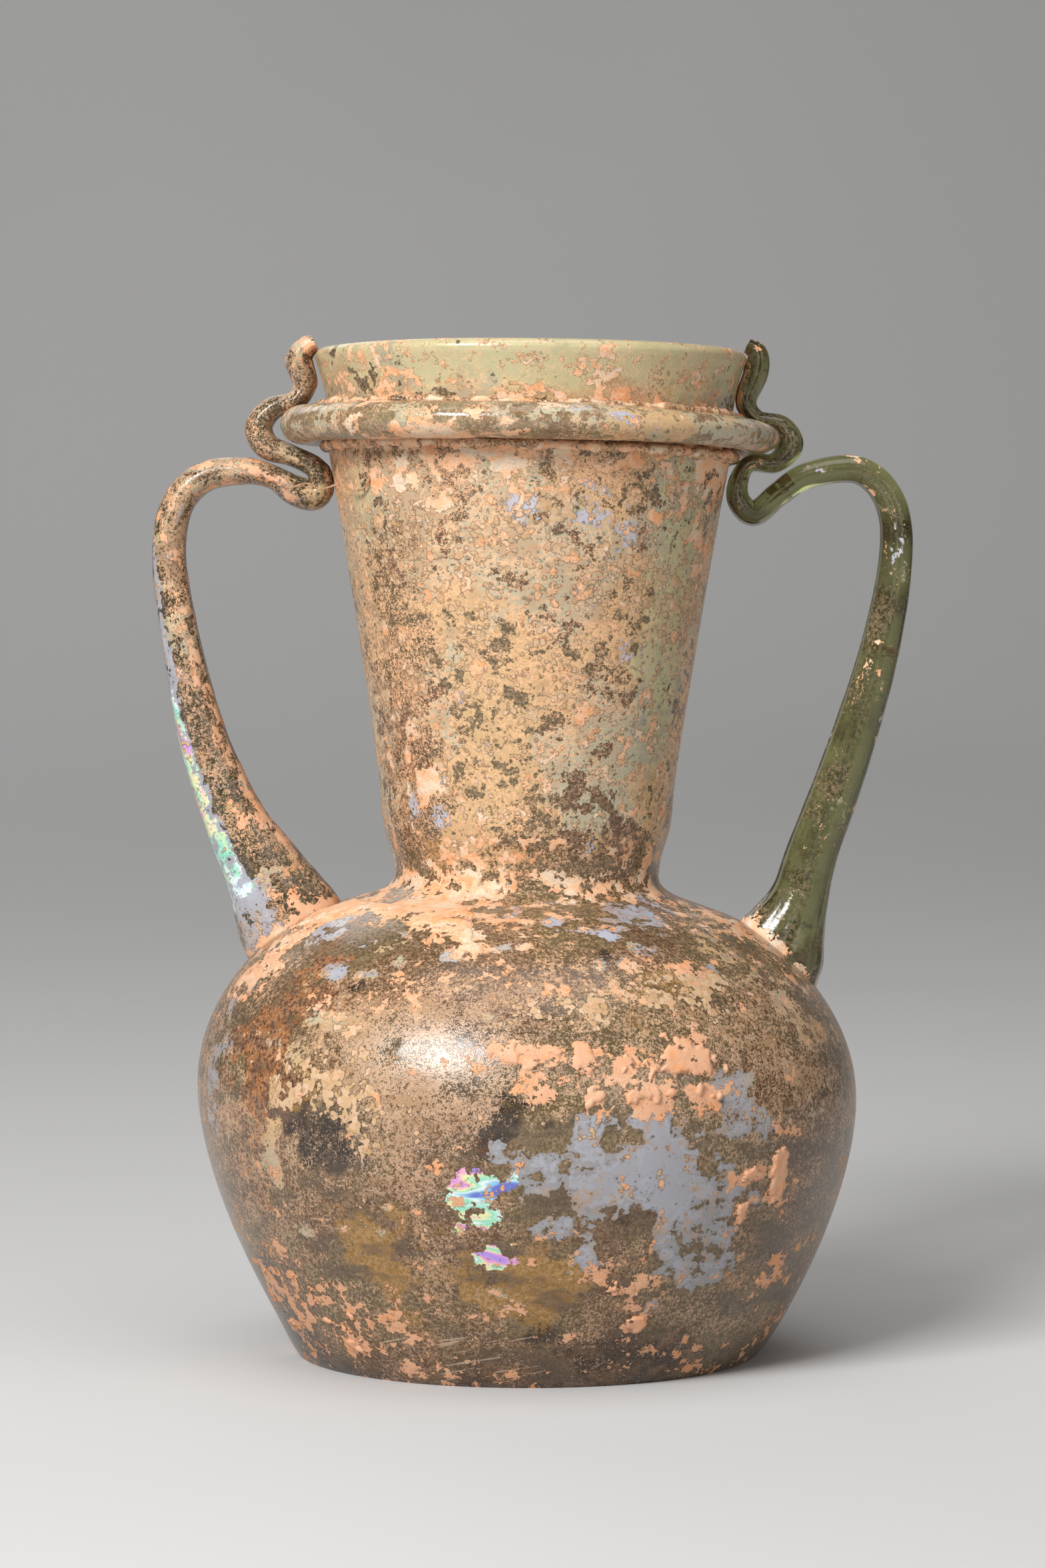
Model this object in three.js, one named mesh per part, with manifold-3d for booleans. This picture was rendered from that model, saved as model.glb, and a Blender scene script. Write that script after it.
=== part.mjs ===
// Roman glass bottle: a free-blown vessel with a wide funnel neck, a thick trail of
// glass wound round it under the lip as a collar, and two rod handles that rise from
// the shoulder, fold against the neck, climb over the collar and end on the lip.
// Millimetres, +Z up. The origin is at the centre of the standing ring, on the surface
// that the bottle stands on, and the handles lie in the XZ plane.
import * as THREE from "three";
import { mergeVertices } from "three/addons/utils/BufferGeometryUtils.js";
import Module from "manifold-3d";

const wasm = await Module();
wasm.setup();

// ---- driving dimensions ----
const lipHeight = 133.5; // top of the lip
const lipRadius = 28.3; // widest point of the lip
const mouthRadius = 26.0; // outside of the neck, just under the collar
const neckRadius = 19.2; // outside of the neck, at its straight lower end
const rootRadius = 17.3; // narrowest place, where the neck leaves the shoulder
const rootHeight = 64.6;
const bellyRadius = 43.4;
const bellyHeight = 36.5; // height of the widest point
const shoulderHeight = 50; // where the belly turns in
const footRadius = 25.5; // outer edge of the flat standing ring
const kickRadius = 15.5; // inner edge of the standing ring
const kickDepth = 1.5; // how far the middle of the base is pushed up

const baseWall = 3.2; // glass thickness at the base, belly, neck and lip
const bellyWall = 1.9;
const neckWall = 2.1;
const lipWall = 2.2;

const collarRadius = 29.7; // centre of the wound trail, from the axis
const collarHeight = 123.0;
const collarSlope = 0.0315; // the trail drops towards the right handle
const collarThickness = 4.5; // mean height of the trail
const collarTaper = 0.45; // how much thicker it is at the left handle than the mean
const collarDepth = 6.2; // size of the trail across the neck
const collarLap = 0.35; // swelling where the ends of the trail meet, at the back

const bodyLean = 0.026; // the hot belly slumped: its left side sits higher
const neckLean = 0.008;
const neckDrift = 0.008; // sideways drift of the neck for each millimetre of height
const driftStart = 75;

const gap = 0.3; // clearance between pieces that touch
const segments = 44; // facets round the vessel and the collar

// ---- helpers ----
const smooth = THREE.MathUtils.smoothstep;
const mix = THREE.MathUtils.lerp;

// The slump and drift of the hot vessel, applied to one point.
function settle(point) {
  const lean = smooth(point.z, 0, 7) * mix(bodyLean, neckLean, smooth(point.z, 56, 70));
  point.z -= lean * point.x;
  point.x += neckDrift * Math.max(0, point.z - driftStart);
  return point;
}

// Moves every vertex of a geometry with a function that changes a point in place.
function deform(geometry, move) {
  const places = geometry.getAttribute("position");
  const point = new THREE.Vector3();
  for (let i = 0; i < places.count; i++) {
    point.fromBufferAttribute(places, i);
    move(point);
    places.setXYZ(i, point.x, point.y, point.z);
  }
  return geometry;
}

function toSolid(geometry) {
  const bare = geometry.index ? geometry.toNonIndexed() : geometry.clone();
  bare.deleteAttribute("normal");
  bare.deleteAttribute("uv");
  const merged = mergeVertices(bare, 1e-3);
  return new wasm.Manifold(
    new wasm.Mesh({
      numProp: 3,
      vertProperties: merged.getAttribute("position").array,
      triVerts: new Uint32Array(merged.index.array),
    }),
  );
}

function toGeometry(solid) {
  const mesh = solid.getMesh();
  const places = new Float32Array(mesh.numVert * 3);
  for (let i = 0; i < mesh.numVert; i++) {
    places.set(mesh.vertProperties.subarray(i * mesh.numProp, i * mesh.numProp + 3), i * 3);
  }
  const geometry = new THREE.BufferGeometry();
  geometry.setAttribute("position", new THREE.BufferAttribute(places, 3));
  geometry.setIndex(new THREE.BufferAttribute(mesh.triVerts, 1));
  geometry.computeVertexNormals();
  return geometry;
}

// Turns a profile of (radius, height) points about the Z axis and lets it slump.
function turn(profile) {
  const lathe = new THREE.LatheGeometry(profile, segments);
  lathe.rotateX(Math.PI / 2);
  return deform(lathe, settle);
}

// ---- the blown vessel ----
// The outside from the standing ring to the lip, as one run of cubic curves. Each row
// holds two control points and an end point, (radius, height), and how many steps.
const outsideCurves = [
  [footRadius + 3.3, 0, 30.4, 1.6, 31.8, 4.0, 3], // heel
  [35.3, 9.7, bellyRadius, 25.0, bellyRadius, bellyHeight, 6], // lower belly
  [bellyRadius, 46.5, 36.2, 55.1, 28.2, 59.3, 6], // shoulder
  [23.5, 61.4, rootRadius, 61.9, rootRadius, rootHeight, 4], // root of the neck
  [rootRadius, 67.8, neckRadius - 0.2, 69.5, neckRadius, 74.0, 3], // knee
  [19.7, 82.0, 24.4, 108.0, mouthRadius, 118.0, 3], // funnel
  [26.6, 122.0, 26.0, 127.0, lipRadius, 132.3, 4], // mouth, flaring to the lip
];

function outsideProfile() {
  const points = [new THREE.Vector2(footRadius, 0)];
  for (const [ax, ay, bx, by, x, y, steps] of outsideCurves) {
    const curve = new THREE.CubicBezierCurve(
      points[points.length - 1].clone(),
      new THREE.Vector2(ax, ay),
      new THREE.Vector2(bx, by),
      new THREE.Vector2(x, y),
    );
    points.push(...curve.getPoints(steps).slice(1));
  }
  return points;
}

function wallAt(height) {
  const low = mix(baseWall, bellyWall, smooth(height, 0, 20));
  const middle = mix(low, neckWall, smooth(height, 50, 66));
  return mix(middle, lipWall, smooth(height, 118, 132));
}

// A profile moved sideways: outwards for a positive distance, inwards for a negative one.
function offsetProfile(points, distanceAt) {
  return points.map((point, i) => {
    const before = points[Math.max(i - 1, 0)];
    const after = points[Math.min(i + 1, points.length - 1)];
    const along = after.clone().sub(before).normalize();
    const distance = distanceAt(point.y);
    return new THREE.Vector2(point.x + along.y * distance, point.y - along.x * distance);
  });
}

// The domed underside and the floor over it, from the axis outwards.
function kick(radius, depth, lift, steps) {
  const points = [];
  for (let i = 0; i < steps; i++) {
    const share = i / steps;
    const rise = depth * (0.5 + 0.5 * Math.cos(Math.PI * share));
    points.push(new THREE.Vector2(radius * share, lift + rise));
  }
  return points;
}

// The fire-rounded lip, half a circle stretched up to its height, from outside to inside.
function lipProfile(outerEdge, innerEdge) {
  const middle = outerEdge.clone().add(innerEdge).multiplyScalar(0.5);
  const half = outerEdge.distanceTo(innerEdge) / 2;
  return [45, 90, 135].map((degrees) => {
    const angle = THREE.MathUtils.degToRad(degrees);
    return new THREE.Vector2(
      middle.x + half * Math.cos(angle),
      middle.y + (lipHeight - middle.y) * Math.sin(angle),
    );
  });
}

const outside = outsideProfile();
const inside = offsetProfile(outside, (height) => -wallAt(height))
  .filter((point, i) => i > 1 && (i % 2 === 0 || point.y > shoulderHeight))
  .reverse();
const lip = lipProfile(outside[outside.length - 1], inside[0]);

function vesselGeometry() {
  const underside = kick(kickRadius, kickDepth, 0, 4);
  const floor = kick(footRadius - 2, kickDepth, baseWall, 5).reverse();
  const ring = new THREE.Vector2(kickRadius, 0);
  return turn([...underside, ring, ...outside, ...lip, ...inside, ...floor]);
}

// The vessel's outside grown by the clearance and filled, to cut what rests on it.
function vesselCutter() {
  const grown = offsetProfile([...outside, lip[0], lip[1]], () => gap);
  const top = grown[grown.length - 1].y;
  return toSolid(turn([new THREE.Vector2(0, -gap), ...grown, new THREE.Vector2(0, top)]));
}

// ---- the wound collar ----
// A closed ring whose section changes with the angle round the neck. Angle 0 is at the
// right handle and 180 degrees at the left one.
function collarSolid(grow) {
  const ring = new THREE.TorusGeometry(collarRadius, 1, 8, segments);
  deform(ring, (point) => {
    const across = Math.hypot(point.x, point.y);
    const cosine = point.x / across;
    const back = Math.max(0, point.y / across);
    const lap = 1 + collarLap * back ** 24;
    const height = (collarThickness / 2 - (collarTaper / 2) * cosine) * lap + grow;
    const reach = collarRadius + (across - collarRadius) * ((collarDepth / 2) * lap + grow);
    const centre = collarHeight - collarSlope * collarRadius * cosine;
    point.z = centre + point.z * height;
    point.x *= reach / across;
    point.y *= reach / across;
    point.x += neckDrift * (collarHeight - driftStart);
  });
  return toSolid(ring);
}

// ---- the handles ----
// Each row is a place on the rod's centre line: distance out from the axis, height,
// thickness of the rod in the plane of the handle, and its width across that plane.
const rightHandle = {
  name: "handle_right",
  side: 1,
  grip: [
    [32.2, 50.6, 11.6, 9.4], // foot, pressed on the shoulder
    [33.3, 55.2, 12.1, 9.0],
    [35.8, 61.4, 7.9, 7.6],
    [37.6, 67.6, 6.8, 7.0],
    [42.2, 80.3, 6.1, 6.6],
    [46.3, 94.0, 5.2, 5.8],
    [48.5, 106.5, 4.4, 5.4],
    [47.7, 113.8, 4.0, 5.2], // top bend
    [43.6, 117.9, 3.6, 5.0],
    [37.0, 117.3, 3.5, 5.0],
    [33.0, 114.8, 3.2, 5.0],
    [29.8, 112.2, 3.3, 5.0], // bottom of the loop
    [28.0, 113.6, 2.4, 4.2],
  ],
  folds: [
    [30.4, 112.3, 2.6, 4.4],
    [28.2, 113.3, 3.2, 5.0],
    [27.8, 116.4, 2.6, 5.0], // against the neck
    [29.2, 118.7, 2.2, 5.0],
    [32.6, 118.9, 2.7, 5.0],
    [34.6, 121.2, 3.4, 5.2], // round the collar
    [33.4, 123.7, 2.8, 5.2],
    [30.2, 124.6, 2.4, 5.0],
    [28.8, 126.9, 2.6, 4.8], // waist under the lip
    [30.1, 130.6, 3.2, 4.8],
    [30.2, 133.1, 2.8, 5.0],
    [28.9, 134.2, 1.9, 5.0],
    [27.4, 134.3, 1.4, 4.4], // pinched end, on the lip
  ],
};

const leftHandle = {
  name: "handle_left",
  side: -1,
  grip: [
    [28.8, 53.6, 13.0, 10.6], // foot, pressed on the shoulder
    [31.3, 58.6, 13.8, 10.0],
    [34.5, 65.0, 10.6, 8.8],
    [38.4, 71.9, 8.1, 8.0],
    [42.3, 81.7, 6.5, 7.0],
    [45.1, 93.4, 5.2, 6.2],
    [47.0, 105.5, 4.5, 5.4],
    [46.2, 112.8, 4.3, 5.2], // top bend
    [42.6, 116.9, 4.0, 5.2],
    [37.2, 117.8, 3.6, 5.2],
    [33.4, 117.0, 3.1, 5.2],
    [30.4, 115.0, 4.1, 5.4],
    [27.4, 114.2, 4.1, 5.2], // bottom of the loop
    [25.6, 114.4, 3.4, 4.8],
  ],
  folds: [
    [28.8, 114.6, 2.4, 4.4],
    [27.6, 115.8, 3.0, 5.0],
    [27.8, 118.2, 2.9, 5.0], // against the neck
    [30.9, 119.8, 2.8, 5.0],
    [34.2, 121.1, 3.4, 5.2],
    [35.2, 123.6, 3.6, 5.2], // round the collar
    [33.4, 126.0, 3.0, 5.2],
    [30.4, 127.0, 2.7, 5.0],
    [29.2, 129.2, 3.0, 4.8], // waist under the lip
    [30.0, 132.4, 3.5, 5.0],
    [28.6, 134.2, 2.6, 5.4],
    [26.0, 134.7, 1.9, 5.6],
    [23.6, 134.6, 1.5, 4.4], // pinched end, folded over the lip
  ],
};

// A rod with closed ends: a cylinder bent along the centre line, with its section
// stretched to the thickness and width of each place.
function rodSolid(rows, side, sides, stepsEach) {
  const centres = new THREE.CatmullRomCurve3(
    rows.map(([out, height]) => new THREE.Vector3(side * out, 0, height)),
  );
  const sizes = new THREE.SplineCurve(
    rows.map(([, , thickness, width]) => new THREE.Vector2(thickness, width)),
  );
  const rod = new THREE.CylinderGeometry(1, 1, 1, sides, (rows.length - 1) * stepsEach);
  deform(rod, (point) => {
    const share = THREE.MathUtils.clamp(point.y + 0.5, 0, 1);
    const along = centres.getTangent(share);
    const inPlane = new THREE.Vector3(-along.z, 0, along.x);
    const size = sizes.getPoint(share);
    const acrossThickness = (point.x * size.x) / 2;
    const acrossWidth = (point.z * size.y) / 2;
    point.copy(centres.getPoint(share)).addScaledVector(inPlane, acrossThickness);
    point.y += acrossWidth;
  });
  return toSolid(rod);
}

function handleGeometry({ side, grip, folds }, vessel, collar) {
  const rod = rodSolid(grip, side, 10, 2).add(rodSolid(folds, side, 8, 2));
  return toGeometry(rod.subtract(vessel).subtract(collar));
}

// ---- the model ----
const crustedGlass = new THREE.MeshStandardMaterial({
  name: "crusted_glass",
  color: 0xb08d69,
  roughness: 0.45,
  metalness: 0,
});
const collarGlass = new THREE.MeshStandardMaterial({
  name: "collar_glass",
  color: 0x8f8260,
  roughness: 0.25,
  metalness: 0,
});
const handleGlass = new THREE.MeshStandardMaterial({
  name: "handle_glass",
  color: 0x5f6a4a,
  roughness: 0.2,
  metalness: 0,
});

const bottle = new THREE.Group();

function addPiece(name, geometry, material) {
  const mesh = new THREE.Mesh(geometry, material);
  mesh.name = name;
  bottle.add(mesh);
}

const vesselCut = vesselCutter();
const collarCut = collarSolid(gap);

addPiece("vessel", vesselGeometry(), crustedGlass);
addPiece("collar", toGeometry(collarSolid(0).subtract(vesselCut)), collarGlass);
for (const handle of [rightHandle, leftHandle]) {
  addPiece(handle.name, handleGeometry(handle, vesselCut, collarCut), handleGlass);
}

export default bottle;
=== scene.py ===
import math

import bpy
import numpy as np
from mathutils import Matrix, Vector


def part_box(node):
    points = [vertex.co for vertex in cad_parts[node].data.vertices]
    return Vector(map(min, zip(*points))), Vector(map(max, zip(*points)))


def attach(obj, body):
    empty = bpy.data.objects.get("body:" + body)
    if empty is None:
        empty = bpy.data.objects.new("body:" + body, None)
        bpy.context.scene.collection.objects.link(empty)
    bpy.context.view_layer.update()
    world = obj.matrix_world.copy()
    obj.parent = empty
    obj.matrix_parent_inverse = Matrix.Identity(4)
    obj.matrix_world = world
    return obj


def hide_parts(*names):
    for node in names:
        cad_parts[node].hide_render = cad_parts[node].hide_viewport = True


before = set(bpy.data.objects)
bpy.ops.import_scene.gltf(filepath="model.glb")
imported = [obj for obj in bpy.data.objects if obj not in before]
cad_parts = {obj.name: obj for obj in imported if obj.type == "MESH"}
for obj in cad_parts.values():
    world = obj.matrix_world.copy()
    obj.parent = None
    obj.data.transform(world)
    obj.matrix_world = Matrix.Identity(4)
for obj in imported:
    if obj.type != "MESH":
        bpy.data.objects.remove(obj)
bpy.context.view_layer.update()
print("frame loaded, nodes:", ", ".join(sorted(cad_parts)))


# numpy tools

def smoothStep(low, high, value):
    # 0 below low, 1 above high, and 3t^2 - 2t^3 between them
    t = np.clip((value - low) / (high - low), 0, 1)
    return t * t * (3 - 2 * t)


def latticeNoise(points, size, seed):
    # every corner of a lattice of this cell size has a random direction; a point takes the dot
    # products of its offsets from its eight corners, blended by the fade 6t^5 - 15t^4 + 10t^3
    chance = np.random.default_rng(seed)
    order = chance.permutation(256)
    directions = chance.normal(size=(256, 3))
    directions /= np.linalg.norm(directions, axis=1, keepdims=True)
    place = points / size + 50
    cell = np.floor(place).astype(int)
    offset = place - cell
    fade = offset ** 3 * (offset * (offset * 6 - 15) + 10)
    total = np.zeros(points.shape[:-1])
    for corner in np.ndindex(2, 2, 2):
        x, y, z = np.moveaxis((cell + corner) & 255, -1, 0)
        direction = directions[order[(order[(order[x] + y) & 255] + z) & 255]]
        weight = np.prod(np.where(np.array(corner) == 1, fade, 1 - fade), axis=-1)
        total += weight * np.sum(direction * (offset - corner), axis=-1)
    return total * 1.7


def roughNoise(points, size, octaves, seed, keep=0.55):
    # lattice noise of the given size, plus copies at half the size and `keep` of the strength
    total, strength, whole = 0, 1.0, 0.0
    for octave in range(octaves):
        total = total + strength * latticeNoise(points, size / 2 ** octave, seed + octave)
        whole += strength
        strength *= keep
    return total / whole


def bezierRun(start, rows, steps=40):
    # cubic curves end to end: (1-t)^3 P0 + 3(1-t)^2 t P1 + 3(1-t) t^2 P2 + t^3 P3
    t = np.linspace(0, 1, steps, endpoint=False)[:, None]
    here, runs = np.array(start, float), []
    for ax, ay, bx, by, x, y in rows:
        first, second, last = np.array([ax, ay]), np.array([bx, by]), np.array([x, y])
        runs.append((1 - t) ** 3 * here + 3 * (1 - t) ** 2 * t * first
                    + 3 * (1 - t) * t ** 2 * second + t ** 3 * last)
        here = last
    return np.vstack(runs + [here[None]])


def evenSteps(line, count):
    # the same line with points at equal lengths along it
    length = np.concatenate([[0], np.cumsum(np.linalg.norm(np.diff(line, axis=0), axis=1))])
    wanted = np.linspace(0, length[-1], count)
    return np.stack([np.interp(wanted, length, line[:, i]) for i in range(line.shape[1])], axis=1)


def catmullRom(rows, stepsEach):
    # passes through every row: 0.5 (2B + (C-A)t + (2A-5B+4C-D)t^2 + (3B-A-3C+D)t^3)
    rows = np.array(rows, float)
    padded = np.vstack([2 * rows[0] - rows[1], rows, 2 * rows[-1] - rows[-2]])
    a, b, c, d = (padded[i:len(padded) - 3 + i, None] for i in range(4))
    t = np.linspace(0, 1, stepsEach, endpoint=False)[None, :, None]
    curve = 0.5 * (2 * b + (c - a) * t + (2 * a - 5 * b + 4 * c - d) * t ** 2
                   + (3 * b - a - 3 * c + d) * t ** 3)
    return np.vstack([curve.reshape(-1, rows.shape[1]), rows[-1:]])


def gridNormals(points):
    # the cross product of the steps along the rings and along the rows, at unit length
    down = np.gradient(points, axis=0)
    across = np.roll(points, -1, axis=1) - np.roll(points, 1, axis=1)
    normal = np.cross(across, down)
    return normal / np.maximum(np.linalg.norm(normal, axis=-1, keepdims=True), 1e-12)


def ringFaces(rows, columns, joined=False):
    # four corners between each two rings, with the last column joined to the first, and the
    # last ring to the first where the rings themselves run in a circle
    i, j = np.meshgrid(np.arange(rows if joined else rows - 1), np.arange(columns), indexing="ij")
    k, after = (j + 1) % columns, (i + 1) % rows
    corners = [i * columns + j, i * columns + k, after * columns + k, after * columns + j]
    return np.stack(corners, axis=-1).reshape(-1, 4)


def capFaces(first, columns, pole):
    # a fan from the pole to the ring that starts at `first`
    j = np.arange(columns)
    return np.stack([np.full(columns, pole), first + (j + 1) % columns, first + j], axis=1)


def placed(name, data):
    # a new object in the scene that shows this mesh, lamp or camera
    made = bpy.data.objects.new(name, data)
    bpy.context.scene.collection.objects.link(made)
    return made


def makePiece(name, points, faces, material, fields=None, node=None, slot="vessel_glass"):
    # faces are turned outwards where the signed volume of the whole comes out negative
    a, b, c = points[faces[0][:, 0]], points[faces[0][:, 1]], points[faces[0][:, 2]]
    volume = np.sum(a * np.cross(b, c))
    if faces[0].shape[1] == 4:
        volume += np.sum(a * np.cross(c, points[faces[0][:, 3]]))
    ordered = [face[:, ::-1] if volume < 0 else face for face in faces]
    mesh = bpy.data.meshes.new(name)
    mesh.from_pydata(points.tolist(), [], [corner for face in ordered for corner in face.tolist()])
    mesh.validate()
    unscratched = {"scratched": np.full(len(points), -2.0)}
    for label, values in {**unscratched, **(fields or {})}.items():
        vector = values.ndim == 2
        layer = mesh.attributes.new(label, "FLOAT_VECTOR" if vector else "FLOAT", "POINT")
        layer.data.foreach_set("vector" if vector else "value", values.astype(np.float32).ravel())
    mesh.shade_smooth()
    mesh.materials.append(material)
    piece = placed(name, mesh)
    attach(piece, "root")
    if node:
        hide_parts(node)


def closedTube(rings):
    # rings of points with a pole at the middle of each end ring
    rows, columns = rings.shape[:2]
    poles = np.stack([rings[0].mean(axis=0), rings[-1].mean(axis=0)])
    points = np.vstack([rings.reshape(-1, 3), poles])
    start = capFaces(0, columns, rows * columns)
    end = capFaces((rows - 1) * columns, columns, rows * columns + 1)[:, ::-1]
    return points, [ringFaces(rows, columns), start, end]


def flattened(fields):
    # fields on a grid, as one value or vector for each point
    return {label: field.reshape(-1, *field.shape[2:]) for label, field in fields.items()}


def withPoles(fields):
    # the same, carried on to the two poles of a closed tube as the means of its end rings
    ends = {label: field[[0, -1]].mean(axis=1) for label, field in fields.items()}
    return {label: np.concatenate([flat, ends[label]]) for label, flat in flattened(fields).items()}


def pushedOut(points, lift):
    # rings moved away from their own middles, along their normals, by this much
    normals = gridNormals(points)
    middle = points.mean(axis=1, keepdims=True)
    outward = np.sign(np.sum(normals * (points - middle), axis=-1, keepdims=True))
    return points + normals * outward * lift[..., None]


def zoneSum(azimuth, height, zones, wobble):
    # each zone is an ellipse of azimuth and height, with its amount inside and a soft edge
    # that the wobble pushes in and out
    total = np.zeros_like(azimuth)
    for middle, level, halfWidth, halfHeight, amount in zones:
        turn = (azimuth - middle + 180) % 360 - 180
        far = np.hypot(turn / halfWidth, (height - level) / halfHeight)
        total += amount * (1 - smoothStep(0.35, 1.45, far + 1.3 * wobble))
    return total


# shader tools

class Value:
    # one socket of a node tree; sums, differences and products of it add Math nodes
    def __init__(self, finish, socket):
        self.finish, self.socket = finish, socket

    def calc(self, operation, other, turned=False):
        pair = (other, self) if turned else (self, other)
        return self.finish.node("ShaderNodeMath", {"operation": operation}, {0: pair[0], 1: pair[1]})

    def __add__(self, other):
        return self.calc("ADD", other)

    def __sub__(self, other):
        return self.calc("SUBTRACT", other)

    def __rsub__(self, other):
        return self.calc("SUBTRACT", other, turned=True)

    def __mul__(self, other):
        return self.calc("MULTIPLY", other)

    __radd__, __rmul__ = __add__, __mul__


class Finish:
    # a material under construction; a colour may be given by its name in the look
    def __init__(self, name, look):
        self.look = look
        self.material = bpy.data.materials.new(name)
        self.material.use_nodes = True
        self.tree = self.material.node_tree
        self.tree.nodes.clear()
        self.place = self.node("ShaderNodeTexCoord", out="Object")

    def node(self, kind, settings=None, sockets=None, out=0):
        made = self.tree.nodes.new(kind)
        for key, setting in (settings or {}).items():
            if key == "stops":
                self.setStops(made.color_ramp, setting)
            else:
                setattr(made, key, setting)
        for key, given in (sockets or {}).items():
            target = made.inputs[key]
            given = self.look[given] if isinstance(given, str) else given
            if isinstance(given, Value):
                self.tree.links.new(given.socket, target)
            elif isinstance(given, (tuple, list)) and len(given) == 3 and target.type == "RGBA":
                target.default_value = (*given, 1)
            else:
                target.default_value = given
        return Value(self, made.outputs[out]) if made.outputs else made

    def setStops(self, ramp, stops):
        while len(ramp.elements) < len(stops):
            ramp.elements.new(1)
        for element, (place, colour) in zip(ramp.elements, stops):
            element.position = place
            element.color = (*colour, 1)

    def field(self, name, out="Fac"):
        return self.node("ShaderNodeAttribute", {"attribute_name": name}, out=out)

    def grain(self, size, detail=5, roughness=0.6, place=None, twist=0.0):
        # noise with features of this size in metres, mostly between -1 and 1
        sockets = {"Scale": 1 / size, "Detail": detail, "Roughness": roughness, "Distortion": twist,
                   "Vector": place or self.place}
        return (self.node("ShaderNodeTexNoise", None, sockets, out="Fac") - 0.5) * 4.5

    def cells(self, size, out="Distance"):
        sockets = {"Scale": 1 / size, "Vector": self.place, "Randomness": 1.0}
        return self.node("ShaderNodeTexVoronoi", {"feature": "F1"}, sockets, out=out)

    def edge(self, value, low, high):
        # 0 below low, 1 above high
        sockets = {"Value": value, "From Min": low, "From Max": high}
        return self.node("ShaderNodeMapRange", {"interpolation_type": "SMOOTHSTEP", "clamp": True}, sockets)

    def blend(self, share, first, second):
        # the first colour where the share is 0, the second where it is 1
        sockets = {0: share, 6: first, 7: second}
        return self.node("ShaderNodeMix", {"data_type": "RGBA", "clamp_factor": True}, sockets, out=2)

    def ramp(self, value, stops):
        return self.node("ShaderNodeValToRGB", {"stops": stops}, {"Fac": value})

    def shaded(self, colour, roughness, bump, extra=None):
        sockets = {"Base Color": colour, "Roughness": roughness, "Normal": bump, **(extra or {})}
        return self.node("ShaderNodeBsdfPrincipled", None, sockets)

    def close(self, shader):
        self.node("ShaderNodeOutputMaterial", None, {"Surface": shader})
        return self.material


# the finish that every piece shares, from the glass outwards: stained olive glass, a thin
# golden grey skin of weathering, shards of silver film, rainbow films, fine tan dust, ochre
# grit and salmon flakes of soil

glassLook = {
    "olive": (0.13, 0.088, 0.036),
    "brown": (0.125, 0.062, 0.026),
    "dark": (0.022, 0.016, 0.013),
    "soot": (0.01, 0.01, 0.01),
    "smudge": (0.085, 0.06, 0.042),
    "rust": (0.38, 0.135, 0.03),
    "rustDark": (0.13, 0.055, 0.028),
    "amber": (0.30, 0.155, 0.03),
    "golden": (0.58, 0.38, 0.19),
    "teal": (0.46, 0.43, 0.30),
    "cream": (0.70, 0.58, 0.43),
    "paleGreen": (0.80, 0.72, 0.40),
    "silver": (0.26, 0.25, 0.25),
    "lavender": (0.46, 0.48, 0.57),
    "dustBrown": (0.52, 0.335, 0.21),
    "dustPeach": (0.82, 0.46, 0.25),
    "dustDark": (0.40, 0.235, 0.125),
    "ochre": (0.46, 0.275, 0.12),
    "tan": (0.62, 0.43, 0.28),
    "scratch": (0.52, 0.38, 0.27),
    "salmon": (0.66, 0.335, 0.19),
    "peach": (0.80, 0.46, 0.265),
    "orange": (0.74, 0.32, 0.13),
    "clear": (0.42, 0.46, 0.22),
    "glassRoughness": 0.19,
    "clearShare": 0.3,
    "bumpDepth": 0.00012,
}
hues = [(0.08, (0.12, 0.16, 0.55)), (0.24, (0.3, 0.6, 0.8)), (0.38, (0.8, 0.86, 0.84)),
        (0.52, (0.25, 0.68, 0.5)), (0.64, (0.8, 0.78, 0.4)), (0.76, (0.8, 0.35, 0.6)),
        (0.92, (0.42, 0.28, 0.75))]


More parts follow.
